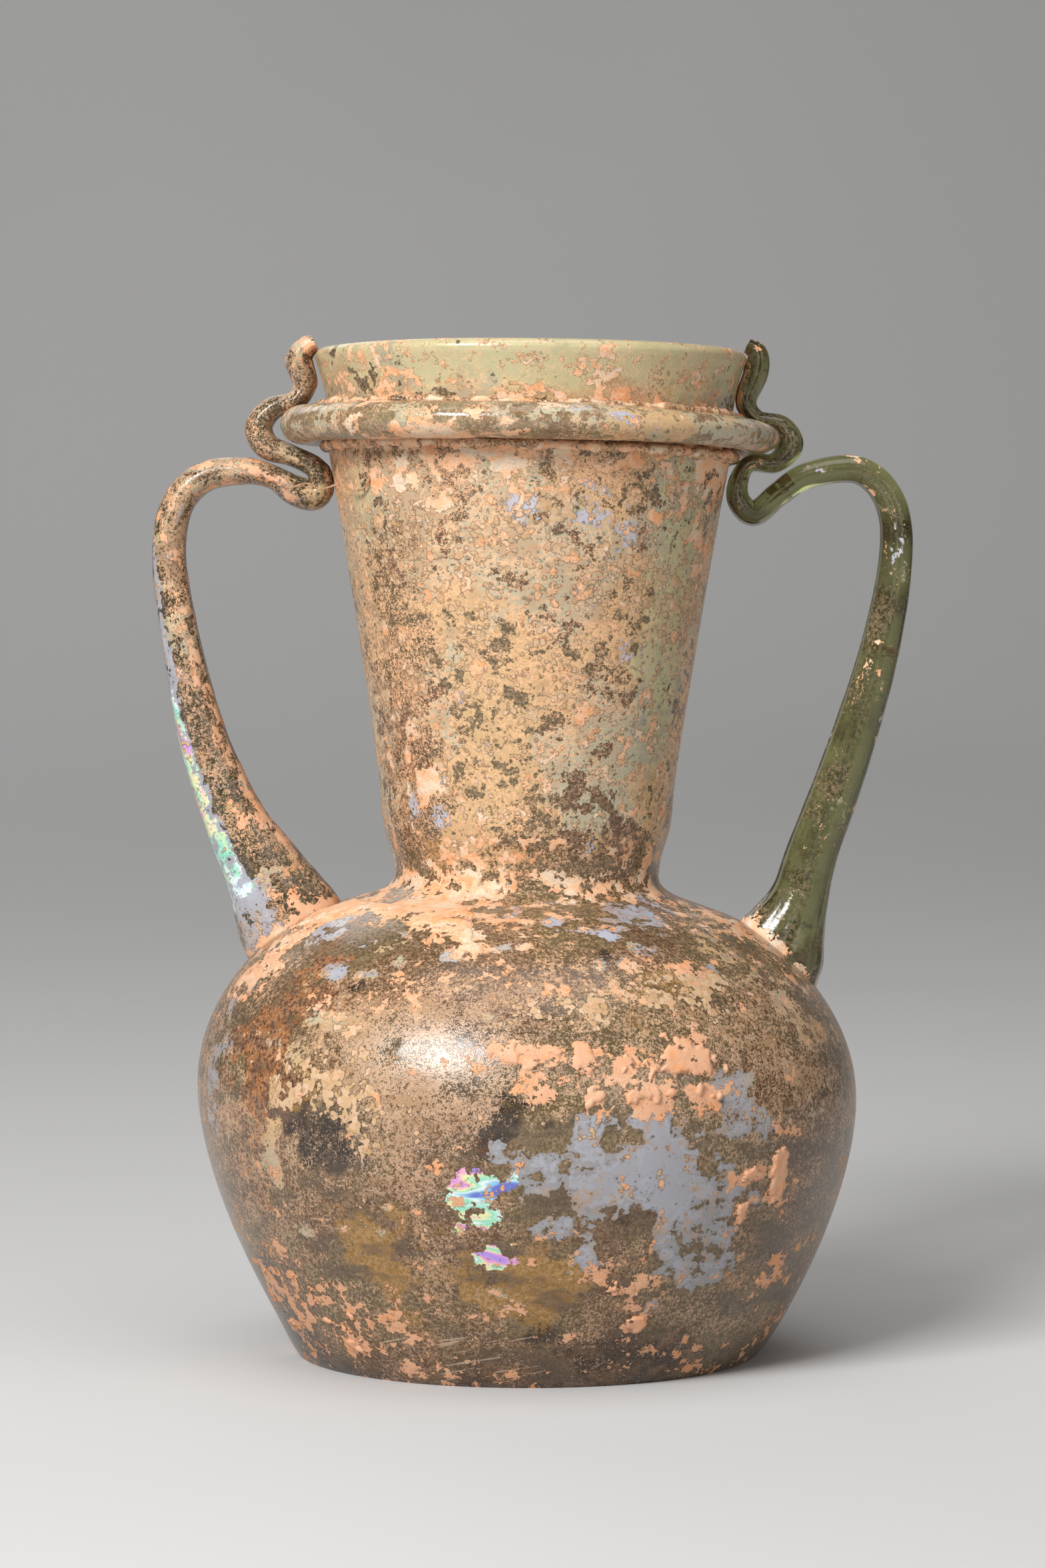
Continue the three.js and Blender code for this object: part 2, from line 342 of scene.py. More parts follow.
def weatheredGlass(name, look):
    s = Finish(name, look)
    flow = s.field("flow", out="Vector")  # runs with the way the glass was blown or drawn
    tone, veil, film, shine, stain, rust, amber, dust, grit, soil, bare, pale = (
        s.field(label) for label in "tone veil film shine stain rust amber dust grit soil bare pale".split())
    sheet = s.grain(0.0036, 6, 0.62, flow)
    middle = s.grain(0.0019, 5, 0.62)
    speck = s.grain(0.0005, 4, 0.62)
    fine = s.grain(0.0002, 1, 0.5)

    # the glass, with amber and rusty stains in it
    glass = s.blend(s.edge(tone + sheet * 0.3, -0.3, 0.3), "olive", "brown")
    glass = s.blend(s.edge(amber + sheet * 0.2 + middle * 0.2, 0, 0.3), glass, "amber")
    rusty = s.blend(s.edge(middle + speck * 0.6, -0.4, 0.5), "rustDark", "rust")
    glass = s.blend(s.edge(rust + sheet * 0.25 + middle * 0.3, 0, 0.35), glass, rusty)
    glass = s.blend(0.25, glass, s.blend(s.edge(speck + fine * 0.5, -0.6, 0.6), "soot", "tan"))

    # the golden or greenish skin, paler where it is thick
    skin = veil + sheet * 0.5 + middle * 0.5 + speck * 0.12
    skinMask = s.edge(skin, 0, 0.06)
    skinColour = s.blend(s.edge(tone * 1.5 - middle * 0.35, -0.25, 0.25), "golden", "teal")
    skinColour = s.blend(s.edge(skin + speck * 0.2, 0.45, 1.0) * 0.8, skinColour, "cream")
    skinColour = s.blend(s.edge(bare + middle * 0.2, 0.1, 0.5) * 0.8, skinColour, "paleGreen")
    colour = s.blend(skinMask * 0.88, glass, skinColour)

    # dark stains, painted shade that darkens the body towards the bottom, and smudges
    stainAndShadeMask = s.edge(stain + sheet * 0.3 + middle * 0.5 + speck * 0.4 + fine * 0.2, 0, 0.3)
    colour = s.blend(stainAndShadeMask * 0.92, colour, "dark")
    smudge = s.edge(sheet * -1 + tone * 0.3 + speck * 0.4, 0.1, 0.6) * (1 - pale * 0.9) * 0.7
    colour = s.blend(smudge, colour, "smudge")

    # shards of silver and lavender film, worn through in places, and the rainbow films
    filmValue = film + sheet * 0.62 + middle * 0.5 + speck * 0.12
    filmMask = s.edge(filmValue, 0, 0.03)
    filmColour = s.blend(s.edge(filmValue, 0.3, 0.36) * 0.35, "silver", "lavender")
    filmColour = s.blend(s.edge(filmValue, 0.62, 0.67) * 0.4, filmColour, "silver")
    filmColour = s.blend(pale, filmColour, "lavender")
    filmColour = s.blend(s.edge(tone + middle * 0.4, 0.1, 0.6) * 0.45, filmColour, "teal")
    worn = s.edge(middle - sheet * 0.5 + speck * 0.3, 0.1, 0.7)
    filmColour = s.blend(worn * 0.55, filmColour, "dustDark")
    colour = s.blend(filmMask * 0.94, colour, filmColour)
    shineMask = s.edge(shine + sheet * 0.5 + middle * 0.6 + speck * 0.12, 0, 0.05)
    rainbow = s.ramp(s.grain(0.0028, 2, 0.5, flow, 0.8) * 0.5 + 0.5, hues)
    colour = s.blend(shineMask * 0.9, colour, rainbow)

    # fine dust, thinner on the films
    dusty = dust + fine * 0.34 + speck * 0.34 + middle * 0.25 + sheet * 0.32
    dustMask = s.edge(dusty, -0.22, 0.34) * (1 - filmMask * 0.7) * (1 - shineMask)
    dustColour = s.blend(s.edge(pale + speck * 0.25 + middle * 0.2, 0.3, 0.7), "dustBrown", "dustPeach")
    dustShade = s.edge(sheet - middle * 0.4 + tone * 0.5, -0.1, 0.5)
    dustColour = s.blend(dustShade * 0.75, dustColour, "dustDark")
    colour = s.blend(dustMask * 0.88, colour, dustColour)

    # rounded grains of grit, with painted shade in a dark line round them where they stand off the glass
    gritValue = grit + (0.42 - s.cells(0.00085)) * 0.8 + middle * 0.5 + sheet * 0.25
    gritMask = s.edge(gritValue, 0, 0.07)
    gritColour = s.blend(s.cells(0.00085, "Color"), "ochre", "tan")
    # painted shade: the ground just outside each grain is darkened as if the grain shadowed it
    colour = s.blend(s.edge(gritValue, -0.14, 0) * (1 - gritMask) * 0.45, colour, "dark")
    colour = s.blend(gritMask, colour, gritColour)

    # soil in several colours, redder along its edges, with painted shade in a dark line round it, and pits that go
    # through everything
    soilValue = soil + middle * 0.62 + sheet * 0.5 + speck * 0.24
    soilMask = s.edge(soilValue, 0, 0.04)
    patch = s.grain(0.0027, 5, 0.65, flow, 0.5)
    soilColour = s.blend(pale, "salmon", "peach")
    soilColour = s.blend(s.edge(patch + speck * 0.35, 0.1, 0.35) * pale * 0.85, soilColour, "cream")
    orangeEdge = s.edge(soilValue * -1 + speck * 0.2, -0.16, -0.04)
    soilColour = s.blend(orangeEdge * 0.45, soilColour, "orange")
    orangePatch = s.edge(patch * -1 + middle * 0.3 + speck * 0.3, 0.25, 0.55)
    soilColour = s.blend(orangePatch * 0.8, soilColour, "orange")
    soilShade = s.edge(speck + fine * 0.5 - soilValue * 0.5, 0.0, 0.6)
    soilColour = s.blend(soilShade * 0.6, soilColour, "dustBrown")
    # painted shade: a dark line on the glass just outside the soil, as if the soil shadowed it
    colour = s.blend(s.edge(soilValue, -0.07, 0) * (1 - soilMask) * 0.4, colour, "dark")
    colour = s.blend(soilMask, colour, soilColour)
    pits = s.edge(s.grain(0.0012, 3, 0.7) + fine * 0.3 + stain * 0.3, 0.62, 0.85)
    colour = s.blend(pits * (0.75 - pale * 0.3), colour, "smudge")

    scratches = s.grain(0.0007, 2, 0.5, s.field("scratchWay", out="Vector")) + s.field("scratched")
    colour = s.blend(s.edge(scratches, 0, 0.12) * 0.6, colour, "scratch")

    # rougher and raised where it is covered; light goes through where it is bare
    crust = s.node("ShaderNodeMath", {"operation": "MAXIMUM"}, {0: soilMask, 1: gritMask})
    roughness = look["glassRoughness"] + dustMask * 0.07 + skinMask * 0.05 + crust * 0.45
    height = skinMask * 0.25 + filmMask * 0.4 + dustMask * 0.1 + crust * 1.1 + speck * 0.04
    bump = s.node("ShaderNodeBump", None, {"Height": height, "Distance": look["bumpDepth"]})
    dull = s.shaded(colour, roughness, bump, {"Specular IOR Level": 0.5})
    through = {"Transmission Weight": 1.0, "IOR": 1.5}
    glassy = s.shaded("clear", look["glassRoughness"], bump, through)
    uncovered = (1 - crust) * (1 - dustMask * 0.9) * (1 - filmMask) * (1 - stainAndShadeMask)
    share = s.edge(bare + sheet * 0.3, 0, 0.4) * uncovered * look["clearShare"]
    return s.close(s.node("ShaderNodeMixShader", None, {0: share, 1: dull, 2: glassy}))


# the blown vessel: one outline turned about the axis, its hot body slumped to one side

vessel = {
    "footRadius": 25.5,
    "kickRadius": 15.5,
    "kickDepth": 1.5,
    "bellyRadius": 43.4,
    "curves": [
        (28.8, 0, 30.4, 1.6, 31.8, 4.0),
        (35.3, 9.7, 43.4, 25.0, 43.4, 36.5),
        (43.4, 46.5, 36.2, 55.1, 28.2, 59.3),
        (23.5, 61.4, 17.3, 61.9, 17.3, 64.6),
        (17.3, 67.8, 19.0, 69.5, 19.2, 74.0),
        (19.7, 82.0, 24.4, 108.0, 26.0, 118.0),
        (26.6, 122.0, 26.0, 127.0, 28.3, 132.3),
    ],
    "lipHeight": 133.5,
    "baseWall": 3.2,
    "walls": [(1.9, 0, 20), (2.1, 50, 66), (2.2, 118, 132)],  # wall, reached between two heights
    "bodyLean": 0.026,
    "neckLean": 0.008,
    "leanFade": (56, 70),  # heights over which the one lean passes into the other
    "neckDrift": 0.008,
    "driftStart": 75,
    "columns": 360,
    "outerRows": 190,
    "waviness": 0.12,  # unevenness of the blown wall
    "waveSize": 24,
    "soilDepth": 0.16,
    "swirlRadius": 15,  # streaks run round the body by its radius over this
    "scratchSlant": 11,  # degrees
    "scratchZones": [(-14, 7, 30, 7, 1.45), (36, 33, 12, 6, 1.0), (14, 28, 14, 6, 0.9)],
}
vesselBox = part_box("vessel")
unit = (vesselBox[1][1] - vesselBox[0][1]) / (2 * vessel["bellyRadius"])  # metres for each mm


def leanAt(height, v):
    # the share of x by which a point drops, from the body's to the neck's
    return v["bodyLean"] + (v["neckLean"] - v["bodyLean"]) * smoothStep(*v["leanFade"], height)


def driftAt(height, v):
    # how far the neck has moved sideways at this height
    return v["neckDrift"] * np.maximum(0, height - v["driftStart"])


def settle(points, v):
    # the slumped body: z drops by a share of x, and the neck drifts sideways as it rises
    x, y, z = np.moveaxis(points, -1, 0)
    return np.stack([x + driftAt(z, v), y, z - smoothStep(0, 7, z) * leanAt(z, v) * x], axis=-1)


def outsideLine(v):
    return bezierRun((v["footRadius"], 0), v["curves"])


def lineNormals(line):
    along = np.gradient(line, axis=0)
    along /= np.linalg.norm(along, axis=1, keepdims=True)
    return np.stack([along[:, 1], -along[:, 0]], axis=1)


def vesselLine(v):
    # underside, outside, lip, inside and floor as one line of (radius, height), axis to axis
    outside = evenSteps(outsideLine(v), v["outerRows"])
    height = outside[:, 1]
    wall = v["baseWall"]
    for thickness, low, high in v["walls"]:
        wall = wall + (thickness - wall) * smoothStep(low, high, height)
    inside = (outside - lineNormals(outside) * wall[:, None])[8::5][::-1]
    turn = np.radians(np.linspace(0, 180, 9)[1:-1])[:, None]
    middle, half = (outside[-1] + inside[0]) / 2, (outside[-1] - inside[0]) / 2
    up = np.array([0, v["lipHeight"] - middle[1]])
    lip = middle + half * np.cos(turn) + up * np.sin(turn)
    share = np.linspace(0.08, 1, 9)
    rise = v["kickDepth"] * (0.5 + 0.5 * np.cos(np.pi * share))
    under = np.stack([v["kickRadius"] * share, rise], axis=1)
    ring = np.stack([np.linspace(v["kickRadius"] + 2, v["footRadius"] - 2, 4), np.zeros(4)], axis=1)
    floorShare = np.linspace(0.06, 0.95, 9)[::-1]
    floorRise = v["baseWall"] + v["kickDepth"] * (0.5 + 0.5 * np.cos(np.pi * floorShare))
    floor = np.stack([(v["footRadius"] - 2) * floorShare, floorRise], axis=1)
    parts = [under, ring, outside, lip, inside, floor]
    outer = np.concatenate([np.full(len(part), i < 4) for i, part in enumerate(parts)])
    return np.vstack(parts), outer


def wallWave(points, v):
    return v["waviness"] * latticeNoise(points, v["waveSize"], 5)


def swirlFlow(azimuth, along, v):
    # x = s sin a, y = -s cos a for the swirl radius s, and z is the way up the glass
    a, swirl = np.radians(azimuth), v["swirlRadius"]
    return np.stack([swirl * np.sin(a), -swirl * np.cos(a), along + 0 * a], axis=-1) * unit


def onVessel(azimuth, line, v):
    # a ring of every (radius, height): x = r sin a, y = -r cos a, then the slump
    a = np.radians(azimuth)[None, :]
    radius, height = line[:, :1], line[:, 1:]
    points = np.stack([radius * np.sin(a), -radius * np.cos(a), height + 0 * a], axis=-1)
    return settle(points, v)


# where the weathering lies on the vessel: each field has its level at a few heights and its
# zones of azimuth (0 at the front, positive to the right), height, half width in degrees,
# half height in mm, and amount; at 0 a field covers half of the glass, at 0.4 nearly all

weathering = {
    "tone": {"levels": [(0, 0.1), (36, 0.0), (60, 0.0), (134, 0.0)], "size": 15, "rough": 1.2, "zones": [
        (-14, 84, 18, 16, -0.9),  # greenish down the neck's left middle
        (20, 112, 16, 6, -0.4),
        (10, 90, 16, 20, 0.2),
        (20, 24, 18, 10, -0.2),
    ]},
    "veil": {"levels": [(0, -0.4), (40, -0.32), (56, -0.25), (64, 0.0), (72, 0.24), (112, 0.3), (120, 0.2),
                        (127, 0.35), (133, 0.5)], "size": 8, "rough": 0.35, "zones": [
        (-43, 43, 3, 3, 0.5), (-47, 36, 2, 4.5, 0.5), (-49, 28, 1.8, 5, 0.5),  # tide line of an old puddle
        (-45, 21, 3, 2, 0.4), (-36, 47.5, 7, 1, 0.6), (60, 50, 20, 10, 0.2),
        (-50, 84, 20, 22, -0.45),  # rusty left of the neck
        (-45, 68, 7, 2, -0.6), (12, 68, 14, 2, -0.5), (48, 69, 12, 3.5, -0.5), (20, 72, 30, 5, -0.15),
        (54, 98, 14, 22, 0.25), (-62, 112, 10, 8, 0.2), (34, 130, 50, 4, 0.3),
    ]},
    "film": {"levels": [(0, -0.7), (48, -0.7), (56, -0.34), (62, -0.22), (65, -0.5), (134, -0.5)],
             "size": 7, "rough": 0.4, "zones": [
        (9, 29, 14, 8, 1.1), (21, 31, 13, 6, 0.7), (31, 24, 12, 10, 0.95), (35, 37, 10, 6, 0.6),
        (36, 42, 7, 3.5, 0.5), (43, 35.5, 6, 2, 0.5), (20, 16.5, 12, 3.5, 0.35), (26, 10, 6, 3, 0.4),
        (18.5, 25.5, 5, 3, -0.8), (31, 37.5, 3.5, 1.8, -0.6),  # holes in it
        (-70, 39, 5, 8, 0.8), (-66, 48, 8, 6, 0.45),
        (-16, 60.5, 7, 1.2, 0.45), (-5, 61, 4, 1, 0.4), (-17, 56, 3.4, 1, 0.9), (-27, 60.8, 7, 1, 0.4),
        (-47, 60.5, 12, 1.5, 0.35), (-60, 56, 8, 3, 0.35), (-41, 53, 2.6, 1, 0.95), (7, 60, 4, 0.8, 0.6),
        (20, 58.5, 2.2, 0.6, 0.8), (38, 61.5, 8, 1.3, 0.6), (42, 54.8, 1.3, 0.6, 1.1), (22, 47, 1.8, 1, 0.9),
        (32, 45.8, 1.4, 0.8, 0.8), (-1, 57.4, 2, 0.8, 0.8),
        (-50, 74.5, 5, 1.8, 0.65), (-37, 73, 5, 1.8, 0.75), (35, 93, 8, 5, 0.5), (15, 113, 16, 4.5, 0.45),
        (-16, 84, 12, 10, 0.25), (10, 104, 20, 6, 0.12),
        (31, 110, 6, 4, 0.35), (-43, 94, 4, 1.8, 0.4), (-48, 106, 3, 1.5, 0.4), (26, 69.5, 2, 1.4, 0.7),
        (-3, 112, 5, 2.5, 0.45),
    ]},
    "shine": {"levels": [(0, -0.75), (134, -0.75)], "size": 6, "rough": 0.3, "zones": [
        (-8.5, 27.5, 5.5, 3.4, 1.0), (-4, 24.5, 5, 1.8, 0.8), (-7, 18.5, 3, 2, 1.0), (-3.5, 20, 3, 1.6, 0.9),
        (4, 35, 5, 1.2, 0.6),
        (-2, 29.5, 1, 1.4, 0.9), (12, 38.5, 5, 1, 0.5), (-5, 64, 3, 0.8, 0.6),
    ]},
    # the high level at the very bottom is painted shade: the underside is darkened as if light fell only from above
    "stain": {"levels": [(0, 0.4), (3, 0.05), (10, -0.2), (24, -0.3), (60, -0.4), (70, -0.55), (134, -0.55)],
              "size": 7, "rough": 0.35, "zones": [
        (-37, 33.5, 6, 4, 1.5), (-31, 31, 4, 3, 0.6), (-14, 34, 12, 6, 0.5), (-4, 37.5, 8, 3, 0.5),
        (10, 36.6, 8, 1.2, 0.6), (18.5, 26, 5, 3, 0.5), (27, 33.5, 4, 1.2, 0.5), (30, 25, 2.5, 1.5, 0.4),
        (-34.5, 51.5, 2.6, 1, 1.1), (-12, 47, 6, 3, 0.25), (8, 50, 14, 3, 0.35), (17.5, 56.5, 1.4, 0.6, 1.1),
        (40, 51, 6, 1.5, 0.5), (-28, 25.5, 2.5, 0.8, 0.7), (18, 8, 18, 4, 0.4), (60, 26, 14, 14, 0.16),
        (-70, 9, 16, 10, 0.7), (-17, 107, 9, 3.5, 0.55), (-5, 95, 4, 4, 0.6), (2, 113, 5, 2, 0.6),
        (49, 108, 2, 1, 0.9),
    ]},
    "rust": {"levels": [(0, -0.4), (116, -0.5), (119.5, -0.05), (121, -0.4), (134, -0.5)], "size": 9,
             "rough": 0.4, "zones": [
        (-51, 43, 12, 12, 1.0), (-57, 31, 11, 9, 0.6), (-34, 50, 10, 4, 0.5), (-48, 85, 15, 18, 0.65),
        (-7, 33.7, 1.5, 1, 1.4), (24, 106, 5, 5, 0.2), (64, 20, 10, 12, 0.3),
    ]},
    "amber": {"levels": [(0, -0.2), (60, -0.2), (134, -0.1)], "size": 11, "rough": 0.45, "zones": [
        (-30, 21, 9, 5.5, 0.6), (-22, 15, 14, 5, 0.3), (0, 15, 11, 5.5, 0.55), (-40, 38, 6, 5, 0.4),
        (28, 53, 10, 2.5, 0.4), (4, 115, 6, 3, 0.5), (-42, 68, 8, 3, 0.5),
    ]},
    "dust": {"levels": [(0, -0.3), (8, -0.12), (30, -0.04), (44, 0.06), (54, -0.05), (58, -0.15), (66, -0.1),
                        (80, 0.08), (110, 0.12), (120, 0.12), (126, -0.05), (134, -0.2)], "size": 6,
             "rough": 0.28, "zones": [
        (-10, 44, 28, 9, 0.14), (-30, 38, 12, 10, 0.1), (-50, 44, 12, 10, -0.55), (-36, 34, 6, 4, -0.3),
        (-30, 21, 9, 6, -0.5),
        (0, 15, 11, 6, -0.45), (8, 28, 15, 9, -0.6), (28, 26, 14, 10, -0.5), (20, 6, 22, 4, -0.1),
        (60, 22, 16, 16, -0.14), (8, 35, 16, 4, -0.2), (52, 98, 14, 24, -0.3), (-15, 85, 16, 14, -0.2),
        (24, 78, 20, 10, -0.15),
        (-40, 56, 16, 3.5, -0.4), (30, 58, 26, 2.4, -0.2), (-56, 58, 5, 1.5, -0.5),
    ]},
    "grit": {"levels": [(0, -0.5), (40, -0.4), (56, -0.5), (70, -0.2), (110, -0.08), (122, -0.2),
                        (134, -0.5)], "size": 6, "rough": 0.4, "zones": [
        (-39, 39, 9, 8, 0.6), (-30, 35, 9, 6, 0.3), (-37, 33, 5, 3.5, -0.9), (8, 50, 14, 3.5, 0.6),
        (30, 53, 12, 3, 0.5),
        (40, 50, 8, 4, 0.3), (2, 36, 10, 3, 0.15), (-48, 90, 14, 20, 0.15), (6, 115, 8, 3, 0.3),
    ]},
    "soil": {"levels": [(0, -0.25), (12, -0.4), (40, -0.55), (52, -0.35), (57, -0.25), (62, -0.1),
                        (66, -0.05), (72, -0.36), (112, -0.36), (119, 0.1), (124, 0.1), (127, -0.25), (134, -0.35)],
             "size": 6, "rough": 0.4, "zones": [
        (14, 43, 19, 4.2, 0.62), (2, 45.5, 9, 2.2, 0.4), (30, 45, 8, 3, 0.5), (20, 39.5, 12, 1.8, 0.4),
        (42, 29.5, 6, 1.2, 0.9), (47.5, 31, 3.2, 5.5, 0.85), (40, 25, 2.4, 2.2, 0.7), (20, 16, 9, 2, 0.55),
        (22, 10.5, 2.5, 1, 0.8), (55, 17, 8, 6, 0.3), (-16, 31, 2.2, 1.3, 0.8), (-22.5, 44, 1.1, 2.6, 1.1),
        (-42, 10, 14, 5, 0.25), (-60, 12, 12, 8, 0.25), (-34, 6, 12, 3, 0.15),
        (-18, 58, 11, 2.6, 0.55), (-45, 61, 30, 2, 0.4), (-68, 55, 9, 8, 0.6), (-30, 60.3, 12, 1.4, 0.4),
        (10, 61, 8, 1, 0.4), (66, 60, 12, 4, 0.55), (36, 55, 5, 1, 0.5), (-20, 53, 12, 2, 0.2),
        (-40, 56, 16, 3.2, -0.6), (-56, 58, 5, 1.5, -0.8), (-5, 57.8, 4, 1.2, -0.5), (30, 58, 26, 2.4, -0.35),
        (62, 60.5, 5, 0.8, -0.8), (52, 62, 5, 1.6, -0.6), (14, 61, 20, 2.5, -0.15),
        (-40, 64, 60, 2, 0.25), (0, 70, 20, 0.9, 0.55), (-42, 77, 5, 2.5, 0.75), (-46, 90, 12, 16, 0.12),
        (-20, 116, 30, 4, 0.12), (66, 112, 8, 12, 0.35), (62, 74, 5, 6, 0.35), (20, 88, 4, 4, 0.25),
        (31, 99, 6, 2, 0.35), (-50, 129, 30, 4, 0.2), (-45, 68, 7, 2, -0.3), (12, 67.5, 16, 1.8, -0.3),
    ]},
    "bare": {"levels": [(0, -0.2), (52, -0.1), (60, -0.1), (120, -0.1), (128, 0.2), (134, 0.5)], "size": 10,
             "rough": 0.3, "zones": [
        (30, 131, 60, 3.5, 0.5), (54, 100, 14, 20, 0.55), (-62, 112, 10, 8, 0.5), (-40, 57, 14, 2, 0.2),
    ]},
    "pale": {"levels": [(0, 0.1), (44, 0.15), (54, 0.5), (60, 1.0), (134, 1.0)], "size": 8, "rough": 0.2,
             "zones": [(50, 57, 20, 6, -0.4), (-50, 86, 20, 20, -0.2)]},
}


def weatherFields(points, azimuth, height, look, seed):
    # each field is its level at that height, its zones with wobbling edges, and rough noise
    wobble = roughNoise(points, 7, 4, seed, 0.75)
    fields = {}
    for i, (label, field) in enumerate(look.items()):
        level = np.interp(height, *np.array(field["levels"]).T)
        noise = roughNoise(points, field["size"], 3, seed + 10 + 7 * i)
        fields[label] = level + zoneSum(azimuth, height, field["zones"], wobble) + field["rough"] * noise
    return fields


insideLevels = {
    "tone": (0, 15, 1.2), "veil": (0.05, 8, 0.4), "film": (-0.5, 7, 0.4), "shine": (-0.9, 6, 0.2),
    "stain": (-0.4, 7, 0.3), "rust": (-0.4, 9, 0.4), "amber": (-0.2, 11, 0.4), "dust": (0.0, 6, 0.3),
    "grit": (-0.5, 6, 0.4), "soil": (-0.35, 6, 0.4), "bare": (-0.3, 10, 0.2), "pale": (0.8, 8, 0.2),
}


def plainFields(points, levels, seed):
    # the same fields without zones, each from its own level, noise size and roughness
    return {label: level + rough * roughNoise(points, size, 2, seed + 7 * i)
            for i, (label, (level, size, rough)) in enumerate(levels.items())}


def buildVessel(v, look):
    line, outer = vesselLine(v)
    azimuth = np.linspace(-180, 180, v["columns"], endpoint=False)
    points = onVessel(azimuth, line, v)
    azimuths, heights = np.broadcast_arrays(azimuth[None], line[:, 1:])
    outside = outer[:, None]
    fields = weatherFields(points, azimuths, heights, look, 11)
    inner = plainFields(points, insideLevels, 400)
    fields = {label: np.where(outside, field, inner[label]) for label, field in fields.items()}

    lift = wallWave(points, v) * smoothStep(0.5, 4, heights)
    crust = smoothStep(-0.05, 0.25, fields["soil"]) + 0.6 * smoothStep(-0.05, 0.25, fields["grit"])
    lift = lift + v["soilDepth"] * crust * smoothStep(0.2, 2, heights)
    lift = lift + 0.06 * latticeNoise(points, 1.6, 6) * crust
    normals = gridNormals(points)
    facing = np.sum(normals[20] * points[20], axis=-1)  # a ring on the outside
    outward = -1 if np.mean(facing) < 0 else 1
    raised = points + normals * outward * np.where(outside, lift, 0)[..., None]

    steps = np.linalg.norm(np.diff(line, axis=0), axis=1)
    length = np.concatenate([[0], np.cumsum(steps)])[:, None]
    fields["flow"] = swirlFlow(azimuths, length, v)
    slant, a = np.radians(v["scratchSlant"]), np.radians(azimuths)
    reach, rise = a * v["bellyRadius"], length + 0 * a
    along = 0.05 * (reach * np.cos(slant) + rise * np.sin(slant))  # scratches are long this way
    across = rise * np.cos(slant) - reach * np.sin(slant)
    fields["scratchWay"] = np.stack([along, across, 0 * a], axis=-1) * unit
    fields["scratched"] = zoneSum(azimuths, heights, v["scratchZones"], 0 * a) - 2
    makePiece("glassVessel", *closedTube(raised * unit), weatheredGlass("crusted olive glass", glassLook),
              withPoles(fields), node="vessel")


buildVessel(vessel, weathering)
print("vessel made")


# the wound collar: a ring whose section changes with the angle round the neck

flowReach = 2.6  # the streaks of a rod are laid out round a circle of this radius, in mm
collar = {
    "radius": 29.7,
    "height": 123.0,
    "slope": 0.0315,
    "thickness": 4.5,
    "taper": 0.45,
    "depth": 6.2,
    "lap": 0.35,
    "columns": 420,
    "around": 56,
    "soilDepth": 0.12,
    "flowRadius": 7.4,
    "look": {"olive": (0.26, 0.21, 0.11), "brown": (0.24, 0.15, 0.075),
             "glassRoughness": 0.16, "clearShare": 0.5},
    "levels": {
        "tone": (0.1, 9, 0.8), "veil": (0.05, 7, 0.4), "film": (-0.4, 7, 0.35), "shine": (-0.9, 6, 0.2),
        "stain": (-0.4, 6, 0.4), "rust": (-0.35, 8, 0.4), "amber": (-0.2, 9, 0.4), "dust": (-0.2, 5, 0.35),
        "grit": (-0.45, 5, 0.35), "soil": (-0.3, 5, 0.35), "bare": (-0.1, 9, 0.4), "pale": (0.8, 8, 0.2),
    },
    "soil": [(-12, 0, 18, 400, 0.2), (-40, 0, 16, 400, 0.2), (-62, 0, 12, 400, -0.1), (24, 0, 18, 400, -0.15),
             (60, 0, 30, 400, -0.15)],
}


def collarRings(c, v):
    # x and y follow the circle, and z and the reach follow an ellipse whose size swells at the
    # lap; slow noise keeps the trail uneven
    azimuth = np.linspace(-180, 180, c["columns"], endpoint=False)[:, None]
    angle = np.radians(azimuth)
    turn = np.radians(np.linspace(0, 360, c["around"], endpoint=False))[None, :]
    side = np.sin(angle)  # 1 at the right handle
    lap = 1 + c["lap"] * np.maximum(0, -np.cos(angle)) ** 24
    uneven = 1 + 0.03 * np.sin(3 * angle + 1) + 0.02 * np.sin(7 * angle)
    half = (c["thickness"] - c["taper"] * side) / 2 * lap * uneven
    reach = c["radius"] + c["depth"] / 2 * lap * np.cos(turn)
    z = c["height"] - c["slope"] * c["radius"] * side + half * np.sin(turn)
    z = z + 0.18 * np.sin(2 * angle + 0.6)
    drift = driftAt(c["height"], v)
    points = np.stack([reach * np.sin(angle) + drift, -reach * np.cos(angle), z + 0 * reach], axis=-1)
    return points, azimuth + 0 * turn, turn + 0 * azimuth


def collarFields(points, azimuth, turn, c):
    fields = plainFields(points, c["levels"], 500)
    inside = smoothStep(0.4, 1.0, -np.cos(turn))  # against the neck
    under = smoothStep(0.4, 1.0, -np.sin(turn))
    fields["soil"] += zoneSum(azimuth, 0 * azimuth, c["soil"], roughNoise(points, 6, 3, 590))
    fields["soil"] += 0.45 * inside + 0.15 * under
    fields["dust"] += 0.3 * inside + 0.2 * under
    fields["rust"] += 0.4 * under * inside
    angle, around = np.radians(azimuth), c["flowRadius"] + flowReach * np.cos(turn)
    flow = np.stack([around * np.sin(angle), -around * np.cos(angle), flowReach * np.sin(turn)], axis=-1)
    fields["flow"] = flow * unit
    return fields


def buildCollar(c, v):
    points, azimuth, turn = collarRings(c, v)
    fields = collarFields(points, azimuth, turn, c)
    lift = c["soilDepth"] * smoothStep(-0.05, 0.2, fields["soil"]) + 0.05 * latticeNoise(points, 5, 230)
    rings = pushedOut(points, lift) * unit
    makePiece("woundCollar", rings.reshape(-1, 3), [ringFaces(c["columns"], c["around"], joined=True)],
              weatheredGlass("collar glass", {**glassLook, **c["look"]}), flattened(fields),
              node="collar", slot="collar_glass")


buildCollar(collar, vessel)
print("collar made")


# soil packed into the corners over and under the collar

